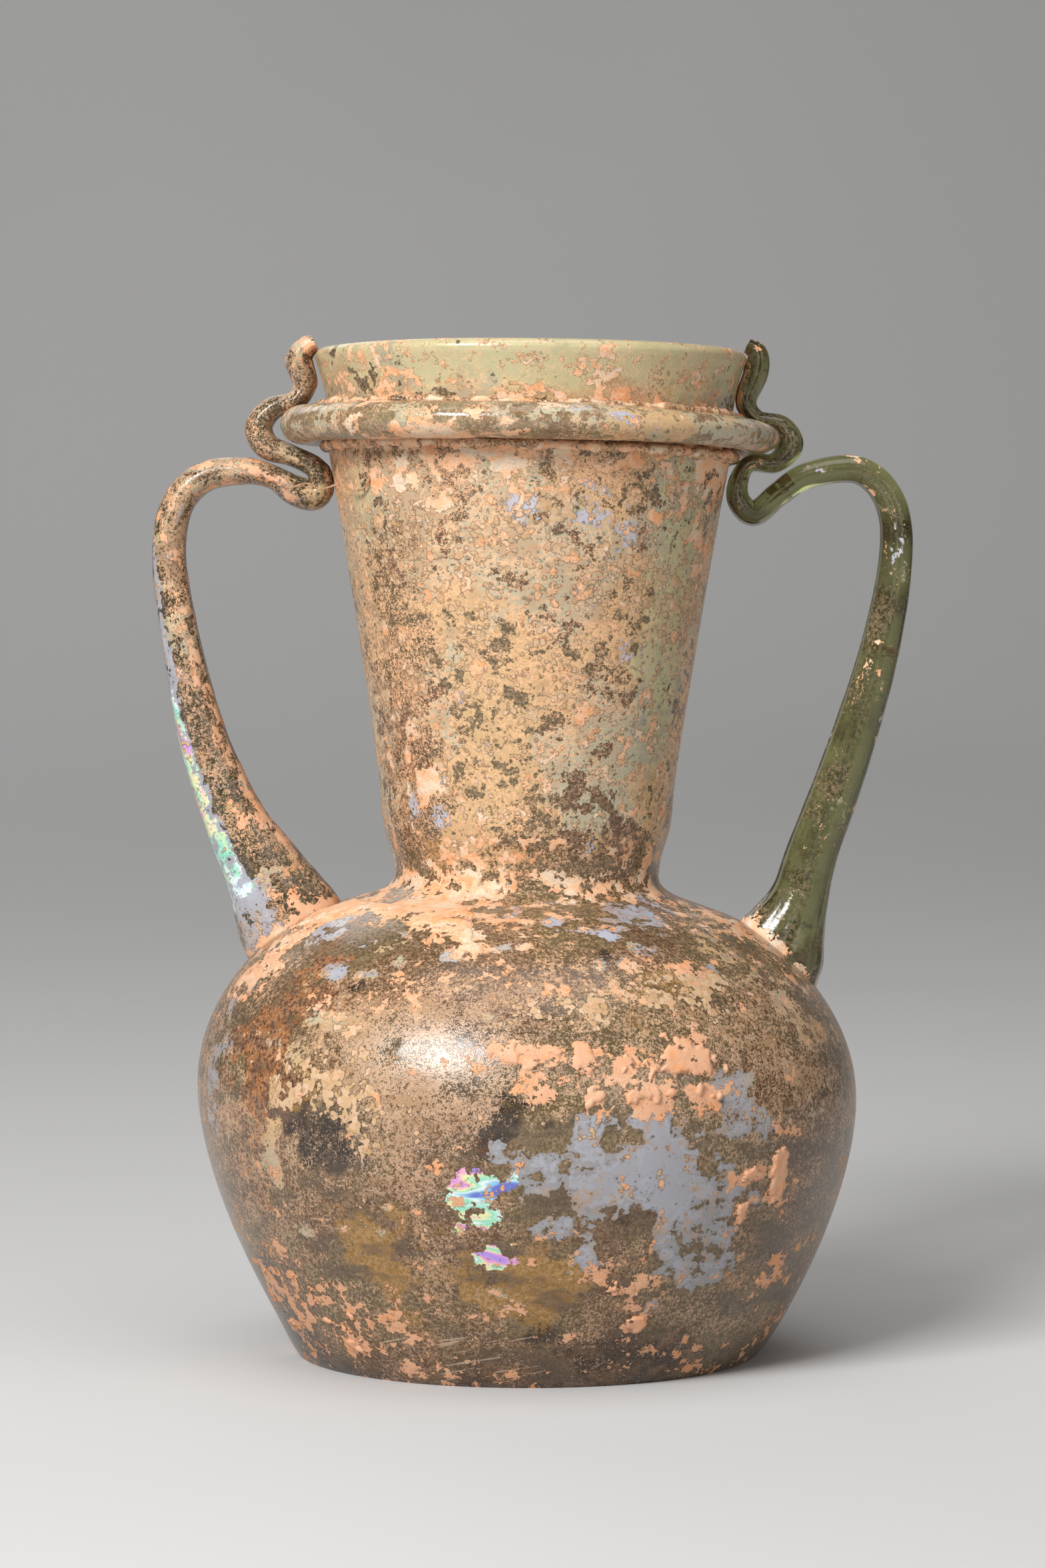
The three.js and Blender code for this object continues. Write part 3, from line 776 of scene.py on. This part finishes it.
packedSoil = {
    "rings": {  # radius, height, half the breadth, half the thickness and seed
        "packedUnderCollar": (26.6, 120.3, 1.1, 0.9, 71),
        "packedOverCollar": (27.4, 125.5, 0.9, 0.7, 72),
    },
    "columns": 720,
    "around": 16,
    "levels": {
        "tone": (0, 9, 0.8), "veil": (0, 7, 0.4), "film": (-0.8, 7, 0.2), "shine": (-0.9, 6, 0.1),
        "stain": (-0.2, 4, 0.4), "rust": (0.3, 6, 0.4), "amber": (0, 9, 0.4), "dust": (0.3, 5, 0.3),
        "grit": (0.1, 3, 0.5), "soil": (0.05, 3, 0.5), "bare": (-0.9, 9, 0.1), "pale": (0.9, 8, 0.1),
    },
}


def buildPackedSoil(name, ring, p, c, v):
    # a thin ring whose section swells and shrinks with rough noise, tilted with the collar
    radius, height, reach, rise, seed = ring
    angle = np.radians(np.linspace(-180, 180, p["columns"], endpoint=False))[:, None]
    turn = np.radians(np.linspace(0, 360, p["around"], endpoint=False))[None, :]
    path = np.stack([radius * np.sin(angle), -radius * np.cos(angle), height + 0 * angle], axis=-1)
    swell = np.clip(0.75 + 0.9 * roughNoise(path, 2.6, 4, seed, 0.7), 0.3, 1.35)
    out = radius + reach * swell * np.cos(turn)
    z = height - c["slope"] * radius * np.sin(angle) + rise * swell * np.sin(turn)
    points = np.stack([out * np.sin(angle) + driftAt(height, v), -out * np.cos(angle), z], axis=-1)
    points = points + 0.12 * latticeNoise(points, 0.8, seed + 5)[..., None] * np.array([0, 0, 1])
    fields = plainFields(points, p["levels"], seed)
    fields["flow"] = points * unit
    makePiece(name, points.reshape(-1, 3) * unit, [ringFaces(p["columns"], p["around"], joined=True)],
              weatheredGlass(name, glassLook), flattened(fields))


for ringName, ring in packedSoil["rings"].items():
    buildPackedSoil(ringName, ring, packedSoil, collar, vessel)
print("packed soil made")


# the rod handles: each row is a place on the centre line, its distance out from the axis,
# height, thickness in the plane of the handle, and width across it

handles = {
    "rightHandle": {
        "node": "handle_right",
        "slot": "handle_right_glass",
        "side": 1,
        "rows": [
            (32.2, 50.6, 11.6, 9.4), (33.3, 55.2, 12.1, 9.0), (35.8, 61.4, 7.9, 7.6),
            (37.6, 67.6, 6.8, 7.0), (42.2, 80.3, 6.1, 6.6), (46.3, 94.0, 5.2, 5.8),
            (48.5, 106.5, 4.4, 5.4), (47.7, 113.8, 4.0, 5.2), (43.6, 117.9, 3.6, 5.0),
            (37.0, 117.3, 3.5, 5.0), (33.0, 114.8, 3.2, 5.0), (29.9, 112.3, 3.3, 5.0),
            (27.9, 113.8, 3.1, 5.0), (27.8, 116.4, 2.6, 5.0), (29.2, 118.7, 2.3, 5.0),
            (32.6, 118.9, 2.7, 5.0), (34.6, 121.2, 3.4, 5.2), (33.4, 123.7, 2.8, 5.2),
            (30.2, 124.6, 2.4, 5.0), (28.8, 126.9, 2.6, 4.8), (30.1, 130.6, 3.2, 4.8),
            (30.2, 133.1, 2.8, 5.0), (28.9, 134.2, 1.9, 5.0), (27.4, 134.3, 1.4, 4.4),
        ],
        "ridgeDepth": 0.035,  # share of the rod's thickness
        # painted shade: the olive and brown here are darker than the glass itself, standing in for the dark middle
        # the rod shows of its surroundings
        "look": {"olive": (0.04, 0.042, 0.014), "brown": (0.045, 0.036, 0.014), "clear": (0.44, 0.46, 0.19),
                 "glassRoughness": 0.08, "clearShare": 0.85},
        "levels": {
            "tone": (0, 9, 0.8), "veil": (-0.45, 6, 0.4), "film": (-0.55, 6, 0.35), "shine": (-0.9, 6, 0.2),
            "stain": (-0.6, 6, 0.3), "rust": (-0.5, 8, 0.3), "amber": (-0.3, 9, 0.3), "dust": (-0.5, 5, 0.3),
            "grit": (-0.55, 5, 0.3), "soil": (-0.5, 5, 0.4), "bare": (0.35, 7, 0.4), "pale": (1.1, 8, 0.1),
        },
    },
    "leftHandle": {
        "node": "handle_left",
        "slot": "handle_left_glass",
        "side": -1,
        "rows": [
            (28.8, 53.6, 13.0, 10.6), (31.3, 58.6, 13.8, 10.0), (34.5, 65.0, 10.6, 8.8),
            (38.4, 71.9, 8.1, 8.0), (42.3, 81.7, 6.5, 7.0), (45.1, 93.4, 5.2, 6.2),
            (47.0, 105.5, 4.5, 5.4), (46.2, 112.8, 4.3, 5.2), (42.6, 116.9, 4.0, 5.2),
            (37.2, 117.8, 3.6, 5.2), (33.4, 117.0, 3.1, 5.2), (30.4, 115.2, 4.0, 5.4),
            (27.9, 114.6, 3.9, 5.2), (27.2, 116.0, 3.4, 5.0), (27.8, 118.2, 2.9, 5.0),
            (30.9, 119.8, 2.8, 5.0), (34.2, 121.1, 3.4, 5.2), (35.2, 123.6, 3.6, 5.2),
            (33.4, 126.0, 3.0, 5.2), (30.4, 127.0, 2.7, 5.0), (29.2, 129.2, 3.0, 4.8),
            (30.0, 132.4, 3.5, 5.0), (28.6, 134.2, 2.6, 5.4), (26.0, 134.7, 1.9, 5.6),
            (23.6, 134.6, 1.5, 4.4),
        ],
        "ridgeDepth": 0.02,
        "look": {"olive": (0.06, 0.055, 0.025), "brown": (0.08, 0.05, 0.025), "clear": (0.34, 0.38, 0.18),
                 "glassRoughness": 0.14, "clearShare": 0.4},
        "levels": {
            "tone": (0, 9, 0.8), "veil": (-0.05, 6, 0.45), "film": (-0.22, 6, 0.35), "shine": (-0.6, 6, 0.35),
            "stain": (-0.25, 5, 0.4), "rust": (0.0, 8, 0.4), "amber": (-0.2, 9, 0.3), "dust": (0.02, 5, 0.3),
            "grit": (-0.3, 5, 0.3), "soil": (-0.3, 5, 0.4), "bare": (0.1, 9, 0.4), "pale": (0.35, 8, 0.3),
        },
    },
}


def rodRings(h, around=64, stepsEach=26):
    # the centre line lies in the XZ plane; the section is an ellipse with fine ridges that
    # run the whole length, as drawn glass has
    curve = catmullRom(h["rows"], stepsEach)
    out, height, thickness, width = curve.T
    centre = np.stack([h["side"] * out, 0 * out, height], axis=1)
    along = np.gradient(centre, axis=0)
    along /= np.linalg.norm(along, axis=1, keepdims=True)
    inPlane = np.stack([-along[:, 2], 0 * out, along[:, 0]], axis=1)
    turn = np.linspace(0, 2 * np.pi, around, endpoint=False)[None, :]
    ridges = np.sin(9 * turn + 0.4) + 0.7 * np.sin(14 * turn + 2.0) + 0.5 * np.sin(21 * turn + 1.0)
    swell = 1 + h["ridgeDepth"] * ridges / 2.2
    reach = (thickness[:, None] / 2 * np.cos(turn) * swell)[..., None] * inPlane[:, None, :]
    across = (width[:, None] / 2 * np.sin(turn) * swell)[..., None] * np.array([0, 1, 0])
    length = np.concatenate([[0], np.cumsum(np.linalg.norm(np.diff(centre, axis=0), axis=1))])
    return centre[:, None, :] + reach + across, turn + 0 * out[:, None], length[:, None] + 0 * turn


def sinkInto(points, v, depth):
    # points that reach more than this depth under the vessel's outside are moved out to it,
    # to the nearest place on the outline
    line = evenSteps(outsideLine(v), 500)
    normals = lineNormals(line)
    x, y, z = np.moveaxis(points, -1, 0)
    x = x - driftAt(z, v)
    flat = np.stack([np.hypot(x, y), z + leanAt(z, v) * x], axis=-1).reshape(-1, 2)
    near = np.concatenate([np.argmin(np.sum((part[:, None] - line) ** 2, axis=-1), axis=1)
                           for part in np.array_split(flat, 40)])
    inside = np.sum((flat - line[near]) * normals[near], axis=1)
    push = np.maximum(-depth - inside, 0) * (inside > -14)
    move = normals[near] * push[:, None]
    angle = np.arctan2(y, x).ravel()
    shift = np.stack([move[:, 0] * np.cos(angle), move[:, 0] * np.sin(angle), move[:, 1]], axis=1)
    return points + shift.reshape(points.shape), inside.reshape(x.shape)


def handleFields(points, turn, length, inside, h):
    # soil and rust where the rod lies on the glass, a clear outer edge, film at the foot, and on
    # the left handle a streak of rainbow and silver film down the outside, partly real film and partly a painted
    # highlight
    fields = plainFields(points, h["levels"], 600 + 100 * h["side"])
    height = points[..., 2]
    nearFoot = 1 - smoothStep(0, 14, length)
    outwards = h["side"] * (points[..., 0] - points[..., 0].mean(axis=1, keepdims=True))
    innerFace = smoothStep(-0.3, 1.2, -outwards)
    touching = 1 - smoothStep(0.2, 1.8, inside)
    fields["soil"] += 0.5 * touching + 0.45 * nearFoot * innerFace
    fields["rust"] += 0.5 * touching
    fields["film"] += 0.35 * nearFoot * (1 - innerFace)
    fields["bare"] += 0.3 * smoothStep(0.3, 1.6, outwards) - 0.3 * nearFoot
    if h["side"] < 0:
        # partly the handle's real iridescent film and partly a painted highlight: bright film in a streak along the
        # outer edge, where light glances off it
        filmAndHighlightStreak = smoothStep(56, 64, height) * (1 - smoothStep(102, 112, height))
        filmAndHighlightStreak = filmAndHighlightStreak * smoothStep(0.8, 2.0, outwards)
        fields["shine"] += 0.75 * filmAndHighlightStreak * (1 - smoothStep(84, 96, height))
        fields["film"] += 0.6 * filmAndHighlightStreak
        fields["soil"] += 0.2 * innerFace * (1 - smoothStep(96, 110, height)) - 0.6 * filmAndHighlightStreak
        fields["dust"] -= 0.3 * filmAndHighlightStreak
    flow = np.stack([flowReach * np.cos(turn), flowReach * np.sin(turn), length * 0.3], axis=-1)
    fields["flow"] = flow * unit
    return fields


def buildHandle(name, h, v):
    points, turn, length = rodRings(h)
    points, inside = sinkInto(points, v, 0.7)
    fields = handleFields(points, turn, length, inside, h)
    lift = 0.14 * smoothStep(-0.05, 0.2, fields["soil"]) + 0.05 * latticeNoise(points, 4, 361)
    points = pushedOut(points, lift * smoothStep(-0.4, 0.2, inside))
    makePiece(name, *closedTube(points * unit), weatheredGlass(name + " glass", {**glassLook, **h["look"]}),
              withPoles(fields), node=h["node"], slot=h["slot"])


for handleName, handle in handles.items():
    buildHandle(handleName, handle, vessel)
print("handles made")


# raised flakes of soil on the body: closed sheets that stand proud of the glass where a flake
# is and stay under its skin elsewhere

flakes = {
    "spacing": 0.28,
    "proud": 0.24,  # over the painted soil
    "hidden": 0.35,  # how far the sheet runs under the skin between flakes
    "thickness": 0.9,
    "patches": {
        "frontFlakes": (-8, 54, 9, 50, 31),  # azimuth from and to, height from and to, seed
        "lowLeftFlakes": (-74, -26, 2.5, 22, 32),
        "shoulderFlakes": (-76, 6, 52, 61.5, 33),
    },
}


def outlineAt(v, low, high, spacing):
    line = evenSteps(outsideLine(v), 2000)
    kept = line[(line[:, 1] >= low) & (line[:, 1] <= high)]
    length = np.sum(np.linalg.norm(np.diff(kept, axis=0), axis=1))
    return evenSteps(kept, int(length / spacing))


def buildFlakes(name, patch, f, v, look):
    # a sheet over (azimuth, outline) moved along the normal by the smoothed flake mask, with an
    # even underside in the wall of the glass
    start, end, low, high, seed = patch
    line = outlineAt(v, low, high, f["spacing"])
    reach = np.radians(end - start) * line[:, 0].max()
    azimuth = np.linspace(start, end, int(reach / f["spacing"]))
    points = onVessel(azimuth, line, v)
    azimuths, heights = np.broadcast_arrays(azimuth[None], line[:, 1:])
    fields = weatherFields(points, azimuths, heights, look, 11)
    ragged = 0.30 * roughNoise(points, 1.9, 4, seed, 0.75) + 0.18 * roughNoise(points, 4.5, 2, seed + 9)
    mask = fields["soil"] - 0.08 + 1.6 * ragged
    border = np.minimum(np.minimum(azimuths - start, end - azimuths) / 3, 1)
    border = np.minimum(border, np.minimum(heights - low, high - heights) / 1.2)
    mask = np.minimum(mask, border * 1.2 - 0.3)
    a, slope = np.radians(azimuths), lineNormals(line)
    normals = np.stack([slope[:, :1] * np.sin(a), -slope[:, :1] * np.cos(a), slope[:, 1:] + 0 * a], axis=-1)
    raised = smoothStep(0, 0.16, mask)
    top = wallWave(points, v) - f["hidden"] + (f["hidden"] + v["soilDepth"] + f["proud"]) * raised
    top = top + 0.07 * latticeNoise(points, 0.9, seed) * raised
    upper = points + normals * top[..., None]
    lower = points - normals * f["thickness"]
    fields = {label: np.vstack([field, field]) for label, field in fields.items()}
    fields["soil"] = np.vstack([mask, mask]) * 0.9 + 0.35
    fields["flow"] = np.vstack([swirlFlow(azimuths, heights, v)] * 2)
    rows, columns = azimuths.shape
    i, j = np.meshgrid(np.arange(rows - 1), np.arange(columns - 1), indexing="ij")
    first, after = i * columns + j, (i + 1) * columns + j
    quad = np.stack([first, first + 1, after + 1, after], axis=-1).reshape(-1, 4)
    index = np.arange(rows * columns).reshape(rows, columns)
    rim = np.concatenate([index[0], index[1:, -1], index[-1, -2::-1], index[-2:0:-1, 0]])
    beside = np.roll(rim, -1)
    below = rows * columns
    wall = np.stack([rim, rim + below, beside + below, beside], axis=1)
    faces = np.vstack([quad, quad[:, ::-1] + below, wall])
    meshPoints = np.vstack([upper.reshape(-1, 3), lower.reshape(-1, 3)]) * unit
    makePiece(name, meshPoints, [faces], weatheredGlass(name + " soil", glassLook), flattened(fields))


for flakeName, flakePatch in flakes["patches"].items():
    buildFlakes(flakeName, flakePatch, flakes, vessel, weathering)
print("flakes made")


# a dried rootlet caught between the left fold and the neck

rootlet = {
    "rows": [(-32.4, -3.0, 116.2), (-31.0, -5.4, 115.4), (-28.6, -8.2, 115.9), (-26.6, -10.8, 115.1),
             (-24.2, -12.6, 115.6), (-22.2, -14.2, 114.8), (-20.8, -15.4, 115.2), (-20.2, -15.8, 116.2),
             (-20.6, -15.2, 116.9)],
    "thickness": 0.3,
    "colour": (0.36, 0.17, 0.08),
    "tip": (0.5, 0.3, 0.17),
}


def buildRootlet(t):
    # a round section carried along a curve through the rows, thinner towards its ends
    centre = catmullRom(t["rows"], 14)
    along = np.gradient(centre, axis=0)
    along /= np.linalg.norm(along, axis=1, keepdims=True)
    side = np.cross(along, [0, 0, 1.0])
    side /= np.linalg.norm(side, axis=1, keepdims=True)
    over = np.cross(side, along)
    turn = np.linspace(0, 2 * np.pi, 12, endpoint=False)[None, :, None]
    share = np.linspace(0, 1, len(centre))
    half = t["thickness"] / 2 * (0.35 + 0.65 * np.sin(np.pi * np.clip(share * 0.96 + 0.02, 0, 1)) ** 0.4)
    half = half * (1 + 0.15 * latticeNoise(centre, 0.9, 41))
    section = side[:, None] * np.cos(turn) + over[:, None] * np.sin(turn)
    rings = centre[:, None] + half[:, None, None] * section
    s = Finish("dried rootlet", t)
    colour = s.blend(s.edge(s.grain(0.0007, 4), -0.5, 0.6), "colour", "tip")
    bump = s.node("ShaderNodeBump", None, {"Height": s.grain(0.0002, 2), "Distance": 0.00003})
    finish = s.close(s.shaded(colour, 0.75, bump))
    makePiece("rootlet", *closedTube(rings * unit), finish, slot="handle_left_glass")


buildRootlet(rootlet)
print("rootlet made")


# floor, light and camera

studio = {
    "cameraDistance": 0.600,
    "cameraHeight": 0.096,
    "cameraSide": -0.0006,
    "aimDown": 1.846,  # degrees below level
    "lens": 104.67,
    "floorColour": (0.58, 0.575, 0.57),
    "worldColour": (0.72, 0.72, 0.72),
    "worldStrength": 0.12,
    "floorProfile": [(-4.5, 0), (-1.0, 0), (0.9, 0), (1.25, 0.06), (1.45, 0.25), (1.55, 0.6), (1.6, 1.6)],
    "floorReach": 4.5,
    "lights": {  # direction, distance, width, height and power
        "keySoftbox": ((-0.43, -0.715, 0.548), 0.95, 0.40, 0.28, 11),
        "frontFill": ((0.6, -0.75, 0.3), 1.6, 1.2, 1.0, 5),
        "topSoftbox": ((0.05, -0.15, 1.0), 1.1, 0.9, 0.7, 4.5),
        "backFill": ((-0.3, 0.8, 0.6), 1.6, 0.9, 0.7, 3),
    },
}


def addLight(name, direction, distance, width, height, power):
    # an area lamp at this distance from the middle of the bottle, facing it
    middle = np.array([0, 0, 0.06])
    toLamp = np.array(direction, float)
    toLamp /= np.linalg.norm(toLamp)
    lamp = bpy.data.lights.new(name, "AREA")
    lamp.shape, lamp.size, lamp.size_y, lamp.energy = "RECTANGLE", width, height, power
    lampObject = placed(name, lamp)
    lampObject.location = (middle + toLamp * distance).tolist()
    x, y, z = toLamp
    lampObject.rotation_euler = (math.atan2(math.hypot(x, y), z), 0, math.atan2(x, -y))


def buildStudio(studio):
    # the floor is a sheet whose profile, (y, z), bends up behind the bottle
    profile, reach = studio["floorProfile"], studio["floorReach"]
    points = [(x, y, z) for y, z in profile for x in (-reach, reach)]
    faces = [(2 * i, 2 * i + 1, 2 * i + 3, 2 * i + 2) for i in range(len(profile) - 1)]
    mesh = bpy.data.meshes.new("studioFloor")
    mesh.from_pydata(points, [], faces)
    mesh.shade_smooth()
    floor = placed("studioFloor", mesh)
    rounding = floor.modifiers.new("rounding", "SUBSURF")
    rounding.levels = rounding.render_levels = 3
    s = Finish("studio floor paper", studio)
    tone = s.blend(s.grain(0.4, 3, 0.5), "floorColour", tuple(0.95 * c for c in studio["floorColour"]))
    paper = {"Base Color": tone, "Roughness": 0.9, "Specular IOR Level": 0.1}
    mesh.materials.append(s.close(s.node("ShaderNodeBsdfPrincipled", None, paper)))

    world = bpy.data.worlds.new("studioWorld")
    bpy.context.scene.world = world
    world.use_nodes = True
    background = world.node_tree.nodes["Background"]
    background.inputs["Color"].default_value = (*studio["worldColour"], 1)
    background.inputs["Strength"].default_value = studio["worldStrength"]

    for name, lamp in studio["lights"].items():
        addLight(name, *lamp)

    camera = bpy.data.cameras.new("camera")
    camera.lens = studio["lens"]
    cameraObject = placed("camera", camera)
    cameraObject.location = (studio["cameraSide"], -studio["cameraDistance"], studio["cameraHeight"])
    cameraObject.rotation_euler = (math.radians(90 - studio["aimDown"]), 0, 0)
    bpy.context.scene.camera = cameraObject
    bpy.context.scene.view_settings.view_transform = "Standard"


buildStudio(studio)
print("studio made")
